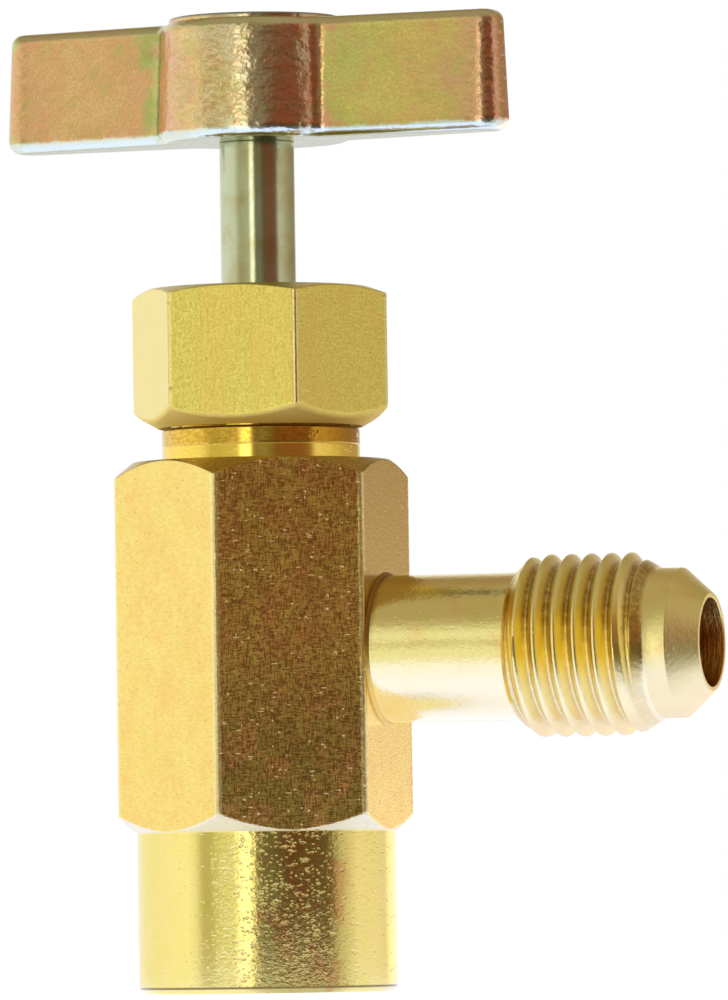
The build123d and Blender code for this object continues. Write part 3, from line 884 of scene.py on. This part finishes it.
def nipple_brass():
    """Bright turned brass: fine rings from the tool, a slightly uneven skin, warm stains above, and painted
    light: a pale painted reflection of the floor underneath, a more golden painted reflection round the
    middle of the thread, painted highlights on the crests, dirt and painted shade in the thread's roots,
    heavier on top, a painted shadow at the top next to the hexagon, and a duller bore, darkened by painted
    shade and lit at its top by a painted reflection."""
    f = new_finish("turned_brass")
    along, y, height = f.coordinates()
    rise = height - port_height
    out = from_axis(y, rise)
    # Painted reflection: depth below the axis, which makes the underside paler to stand for the bright floor.
    under = 0 - rise
    top = rise.band(-1.2, 2.2)
    # Painted reflection: round the middle of the thread the brass is made more golden, for light reflected
    # between the flanks.
    painted_gold_band = 1 - (rise * rise).band(1.5, 9.0)
    past_barrel = along.band(barrel_end, barrel_end + 0.3)
    threaded = past_barrel * (1 - along.band(nose_start - 0.3, nose_start))
    root = (1 - out.band(flare_minor + 0.02, flare_minor + 0.3)) * threaded
    crest = out.band(flare_major - 0.14, flare_major - 0.04) * threaded
    nose = along.band(nose_start, nose_start + 0.1)
    # Painted shadow: darker at the top of the nipple next to the hexagon.
    joint = (1 - along.band(8.1, 8.6)) * top
    bore = 1 - out.band(nipple_bore + 0.02, nipple_bore + 0.1)

    rings = f.noise((11.0, 0.3, 0.3), 2.0, 0.6) * 0.0016
    skin = f.noise((2.6, 3.4, 3.4)) * 0.022
    chatter = f.noise((7.0, 0.6, 0.6), 3.0, 0.65) * 0.04 * bore
    nicks = f.pits(2.0, 0.18, 0.14) * 0.016 + f.pits(4.0, 0.2, 0.2) * 0.008

    stain = f.patches((0.35, 0.5, 0.5), 0.52, 0.7)
    green = f.patches((0.4, 0.5, 0.5), 0.5, 0.7, (3.0, 19.0, 7.0), 3.0, 0.6)
    grime = f.noise((2.0, 2.4, 2.4), 3.0, 0.7).band(0.3, 0.6)
    shade = f.coats(
        (252, 234, 164),
        (stain * 0.5, (248, 206, 132)),
        (green * 0.4, (238, 232, 138)),
        (threaded * painted_gold_band * 0.8, (255, 226, 112)),
        # Painted highlight on the thread's crests.
        (crest * 0.6, (255, 246, 180)),
        # Painted reflection of the floor: the underside is paler on the barrel and the nose, and toned back
        # at the lowest edge past the barrel.
        (under.band(0.4, 2.6) * (0.8 - threaded * 0.3 - nose * 0.25), (254, 242, 196)),
        # Dirt and painted shade: the thread's roots are darkened, more on top.
        (root * (grime * 0.4 + 0.3) * (top * 0.7 + 0.3), (150, 98, 30)),
        (joint * 0.6, (150, 100, 40)),
        (nose * under.band(1.5, 3.0) * 0.6, (250, 226, 168)),
        (under.band(3.6, 5.2) * past_barrel * 0.6, (240, 206, 134)),
        # Painted shade inside the bore, with a painted reflection at its top.
        (bore, f.coats((214, 154, 78), (rise.band(0.9, 1.9), (255, 238, 150)))),
    )
    uneven = (f.noise(1.5) - 0.5) * 0.08
    rough = 0.16 + bore * 0.16 + (nose * 0.22 + threaded * 0.14) * (1 - bore) + uneven
    return f.surface(shade, rough, rings + skin + chatter - nicks)


# ---------------- light

# What the metal sees going round, as degrees from the middle of the front and the light's red, green and
# blue, just below eye level and above it.
LOW_BANDS = [
    (-180, 1.0, 1.0, 1.0),
    (-110, 1.0, 0.99, 0.96),
    (-74, 1.10, 1.10, 1.03),
    (-66, 0.98, 0.98, 0.90),
    (-59, 0.52, 0.50, 0.33),
    (-51, 0.52, 0.53, 0.34),
    (-42, 0.88, 0.90, 0.74),
    (-26, 0.92, 0.96, 0.88),
    (-23, 2.1, 2.1, 2.0),
    (-13, 2.1, 2.1, 2.0),
    (-10.5, 0.24, 0.22, 0.16),
    (6, 0.14, 0.12, 0.08),
    (15, 0.125, 0.09, 0.06),
    (32, 0.12, 0.095, 0.065),
    (50, 0.12, 0.11, 0.07),
    (60, 0.16, 0.15, 0.11),
    (69, 0.92, 0.92, 0.92),
    (110, 0.98, 0.95, 0.95),
    (131, 0.90, 0.84, 0.80),
    (139, 1.38, 1.24, 1.12),
    (150, 1.38, 1.24, 1.12),
    (180, 1.0, 1.0, 1.0),
]
HIGH_BANDS = [
    (-180, 0.95, 0.95, 0.95),
    (-110, 1.10, 1.11, 1.12),
    (-76, 0.98, 0.98, 0.92),
    (-63, 0.66, 0.62, 0.48),
    (-42, 0.60, 0.57, 0.40),
    (-26, 0.64, 0.60, 0.42),
    (-23, 2.1, 2.1, 1.9),
    (-13, 2.1, 2.1, 1.9),
    (-10.5, 0.22, 0.17, 0.12),
    (4, 0.32, 0.33, 0.27),
    (11, 0.28, 0.24, 0.18),
    (18, 0.25, 0.13, 0.08),
    (35, 0.29, 0.12, 0.075),
    (50, 0.28, 0.12, 0.08),
    (59, 0.34, 0.20, 0.13),
    (67, 0.84, 0.78, 0.76),
    (82, 0.74, 0.67, 0.60),
    (95, 0.63, 0.53, 0.37),
    (112, 0.48, 0.40, 0.27),
    (147, 0.38, 0.30, 0.18),
    (165, 0.80, 0.78, 0.76),
    (180, 0.95, 0.95, 0.95),
]
LEFT_SHEET, CEILING, CEILING_BACK = (0.90, 0.94, 0.80), (0.44, 0.38, 0.24), (0.32, 0.23, 0.12)
# Where each takes over, as sines of the angle above eye level, to the side or to the back.
EYE_LEVEL, SHEET_RISE, SHEET_SIDE = (0.017, 0.036), (0.13, 0.21), (0.1, 0.3)
CEILING_RISE, CEILING_DEPTH = (0.28, 0.7), (0.1, 0.8)
# The floor's own light to the camera and to metal, and where it changes, in millimetres from the axis.
CAMERA_LIFT = 0.79
MIRROR_GLOW = (0.68, 0.8, 1.35)
SHADE_LEVEL, SHADE_EDGE = 0.88, (7.5, 12.5)
SHEET_EDGE = (38.0, 75.0)


def studio_world():
    """A studio as the metal sees it: for each direction round, the white surround, a soft white sheet with a
    narrow lamp beside it, and the dark room between; one row of these just below eye level and one above it.
    A second sheet hangs on the left, and the ceiling is dim. Rays straight to the camera see the white
    backdrop."""
    world = bpy.data.worlds.new("studio")
    bpy.context.scene.world = world
    f = Finish(world)
    direction = f.node("ShaderNodeTexCoord", output="Generated")
    x, y, up = f.parts(direction)
    side = facing(x, y, STUDIO_DEGREES)
    front = facing(x, y, STUDIO_DEGREES - 90)
    turn = side.maths("ARCTAN2", side, front) / FULL_TURN + 0.5

    def around(bands):
        stops = [(degrees / 360 + 0.5, shade) for degrees, *shade in bands]
        return f.node("ShaderNodeValToRGB", {"stops": stops}, {0: turn})

    room = f.mix(up.band(*EYE_LEVEL), around(LOW_BANDS), around(HIGH_BANDS))
    sheet = up.band(*SHEET_RISE) * (0 - side).band(*SHEET_SIDE)
    room = f.mix(sheet, room, LEFT_SHEET)
    overhead = f.mix((0 - front).band(*CEILING_DEPTH), CEILING, CEILING_BACK)
    room = f.mix(up.band(*CEILING_RISE), room, overhead)
    lit = f.light("Background", room, 1.0)
    white = f.light("Background", (1, 1, 1, 1), 1.0)
    seen = f.node("ShaderNodeLightPath", output="Is Camera Ray")
    f.end(f.blend(seen, lit, white), "ShaderNodeOutputWorld")


def studio_floor():
    """Pale floor just under the valve. Its own light brings it up to the white behind it, and it keeps the
    valve's shadow. Metal sees the lit sheet round the valve, dimmer close by, and past its edge the room."""
    mesh = bpy.data.meshes.new("floor")
    edge, gap = 1.5, 0.00002
    low = skirt_bottom / METRE - gap
    corners = [(-edge, -edge, low), (edge, -edge, low), (edge, edge, low), (-edge, edge, low)]
    mesh.from_pydata(corners, [], [(0, 1, 2, 3)])
    f = new_finish("pale_floor")
    x, y, _ = f.coordinates()
    grain = f.noise(0.02, 2.0, 0.5)
    paint = f.mix(grain, (0.78, 0.78, 0.78), (0.80, 0.80, 0.80))
    matt = f.node("ShaderNodeBsdfDiffuse", None, {"Color": paint, "Roughness": 0.0})
    camera = f.node("ShaderNodeLightPath", output="Is Camera Ray")
    mirror = f.node("ShaderNodeLightPath", output="Is Glossy Ray")
    dark = f.light("Emission", (0, 0, 0, 1), 0.0)
    lift = f.light("Emission", (1, 1, 1, 1), CAMERA_LIFT)
    away = from_axis(x, y)
    strength = SHADE_LEVEL + away.band(*SHADE_EDGE) * (1 - SHADE_LEVEL)
    glow = f.light("Emission", (*MIRROR_GLOW, 1), strength)
    own = f.blend(mirror, f.blend(camera, dark, lift), glow)
    sheet = f.node("ShaderNodeAddShader", None, {0: matt, 1: own})
    past = away.band(*SHEET_EDGE) * mirror
    clear = f.node("ShaderNodeBsdfTransparent")
    mesh.materials.append(f.end(f.blend(past, sheet, clear)))
    floor = new_object("floor", mesh)


def studio_camera():
    """Long lens a little above the floor, looking slightly up, with the picture leaning a little."""
    distance, height, lens = 642.05, 4.0, 376.7
    yaw, pitch, roll = math.radians(0.56), math.radians(2.33), math.radians(-0.84)
    forward = Vector((math.sin(yaw) * math.cos(pitch), math.cos(yaw) * math.cos(pitch), math.sin(pitch)))
    right = Vector((math.cos(yaw), -math.sin(yaw), 0))
    up = right.cross(forward)
    leaning_right = right * math.cos(roll) + up * math.sin(roll)
    leaning_up = up * math.cos(roll) - right * math.sin(roll)
    stand = Matrix.Rotation(math.radians(STUDIO_DEGREES), 3, "Z")
    columns = [stand @ v for v in (leaning_right, leaning_up, -forward)]
    data = bpy.data.cameras.new("studio_camera")
    data.lens, data.sensor_width, data.sensor_fit = lens, 36.0, "AUTO"
    data.clip_start, data.clip_end = 0.01, 50.0
    camera = new_object("studio_camera", data)
    camera.matrix_world = (
        Matrix.Translation(stand @ Vector((0, -distance, height)) / METRE)
        @ Matrix(columns).transposed().to_4x4()
    )
    bpy.context.scene.camera = camera


# ---------------- putting it together


def place_piece(mesh, body, node, material):
    """Shows a mesh in the place of a solid, on the body that the solid rides on."""
    piece = new_object(mesh.name, mesh)
    mesh.materials.clear()
    mesh.materials.append(material)
    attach(piece, body)
    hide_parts(node)


def rubber(name, colour):
    """Matt rubber or packing with small lumps, paler in patches."""
    f = new_finish(name)
    f.coordinates()
    relief = f.noise(3.0, 4.0, 0.6) * 0.02
    shade = f.mix(f.noise(0.8, 3.0, 0.5), colour, tuple(c * 1.6 for c in colour))
    return f.surface(shade, 0.62, relief, metallic=0.0)


def steel(name, colour, other, roughness, marks):
    """Steel in two tones, with fine marks and small dents."""
    f = new_finish(name)
    f.coordinates()
    relief = f.noise(marks) * 0.004 - f.pits(2.4, 0.2, 0.2) * 0.004
    shade = f.coats(colour, (f.noise(0.5, 3.0, 0.5).band(0.4, 0.65), other))
    rough = roughness + (f.noise(1.0, 3.0, 0.5) - 0.5) * 0.1
    return f.surface(shade, rough, relief)


def solder():
    """Solder line: darker at the top, a painted shade, the brass's own colour below."""
    f = new_finish("solder_fillet")
    height = f.coordinates()[2]
    uneven = (f.noise(1.2) - 0.5) * 3.0
    # Painted shade: the top of the solder line is darker.
    painted_top_shade = (height + uneven).band(port_height - 1.5, port_height + 1.5)
    shade = f.coats((240, 204, 112), (painted_top_shade, (160, 116, 50)))
    return f.surface(shade, 0.42, f.noise(3.0) * 0.02)


# The plating's display colour from one wing's end to the other's, as a share of the length and the colour.
FILM = [
    (0.0, 194, 212, 140),
    (0.05, 234, 176, 134),
    (0.16, 240, 194, 138),
    (0.26, 236, 178, 134),
    (0.30, 172, 196, 112),
    (0.335, 156, 160, 92),
    (0.37, 232, 180, 158),
    (0.45, 238, 204, 142),
    (0.52, 226, 212, 176),
    (0.60, 216, 200, 172),
    (0.66, 226, 160, 130),
    (0.70, 200, 202, 112),
    (0.78, 226, 206, 116),
    (0.88, 218, 192, 114),
    (0.95, 220, 168, 134),
    (1.0, 226, 166, 146),
]


def yellow_plating():
    """Yellow passivated zinc on a rough casting. The film's colour changes along the wings, with its edges
    moved about by noise. The lower rim is made white and silvery, a painted reflection of the floor; the flat
    underside carries a painted shade, up-facing rims a painted pale reflection and the top edge a painted
    shade.
    Fine grain, lumps and small dents."""
    f = new_finish("yellow_plated_casting")
    x, y, height = f.coordinates()
    upward = f.upward()
    down = 0 - upward
    along = facing(x, y, math.degrees(handle_turn))
    sideways = along.maths("ABSOLUTE", along)
    hub = 1 - sideways.band(5.4, 6.4)
    wing_tips = sideways.band(15.0, 15.8)
    # Painted reflection: the down-facing rim is made white and silvery to stand for the bright floor it
    # reflects.
    painted_rim_reflection = (down + (f.noise(1.2, 3.0, 0.5) - 0.5) * 0.5).band(0.12, 0.4)

    wander = (f.noise(0.3) - 0.5) * 9.0
    share = (along + wander) / wing_length + 0.5
    film = f.node("ShaderNodeValToRGB", {"stops": [(s, tone(c)) for s, *c in FILM]}, {0: share})
    shade = f.coats(
        film,
        (f.patches(0.9, 0.42, 0.66) * 0.4, (226, 156, 116)),
        (f.patches(0.7, 0.48, 0.68, (31.0, 7.0, 13.0)) * 0.4, (176, 190, 92)),
        (f.noise(6.0, 3.0, 0.7).band(0.36, 0.64) * 0.6, (202, 174, 116)),
        (painted_rim_reflection * 0.9, (226, 240, 232)),
        # Painted shade on the flat underside, a painted pale reflection on up-facing rims, and painted shade
        # along the top edge.
        (down.band(0.93, 0.99), (158, 164, 136)),
        (upward.band(0.1, 0.5) * 0.7, (222, 220, 186)),
        (height.band(wing_top + 0.05, wing_top + 0.15) * 0.8, (150, 154, 136)),
    )
    grain = f.noise(5.0, 3.0, 0.65) * (0.018 - hub * 0.01)
    lumps = f.noise((1.2, 1.2, 1.9), 2.0, 0.5) * ((hub + wing_tips) * 0.06 + 0.015)
    dents = f.pits(1.6, 0.25, 0.3) * 0.012
    rough = 0.2 + (f.noise(1.0, 3.0, 0.5) - 0.5) * 0.1
    return f.surface(shade, rough, grain + lumps - dents)


studio_world()
studio_floor()
studio_camera()

bar_brass, satin_brass, turned_brass = body_brass(), nut_brass(), nipple_brass()
solder_metal = solder()
stem_steel = steel("plated_stem", (194, 200, 166), (186, 182, 140), 0.16, (6.0, 6.0, 5.0))
hard_steel = steel("ground_needle_steel", (196, 196, 198), (170, 172, 178), 0.22, (0.5, 0.5, 8.0))
packing_stuff = rubber("graphite_packing", (0.03, 0.03, 0.032))
gasket_stuff = rubber("gasket_rubber_black", (0.018, 0.018, 0.018))
handle_plating = yellow_plating()

place_piece(body_mesh(), "valve", "valve_body", bar_brass)
place_piece(nut_mesh(), "valve", "gland_nut", satin_brass)
place_piece(nipple_mesh(), "valve", "outlet_nipple", turned_brass)
place_piece(fillet_mesh(), "valve", "braze_ring", solder_metal)
place_piece(spindle_mesh(), "screw", "spindle", stem_steel)
place_piece(handle_mesh(), "screw", "t_handle", handle_plating)
place_piece(needle_mesh(), "needle_lift", "piercing_needle", hard_steel)
place_piece(gasket_mesh(), "valve", "can_gasket", gasket_stuff)

# The hidden packing is the solids themselves.
hidden = "packing_ring_lower", "packing_ring_middle", "packing_ring_upper", "packing_washer", "gland_follower"
for node in hidden:
    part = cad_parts[node]
    part.data.materials.clear()
    part.data.materials.append(packing_stuff if "ring" in node else bar_brass)

bpy.context.scene.view_settings.view_transform = "Standard"
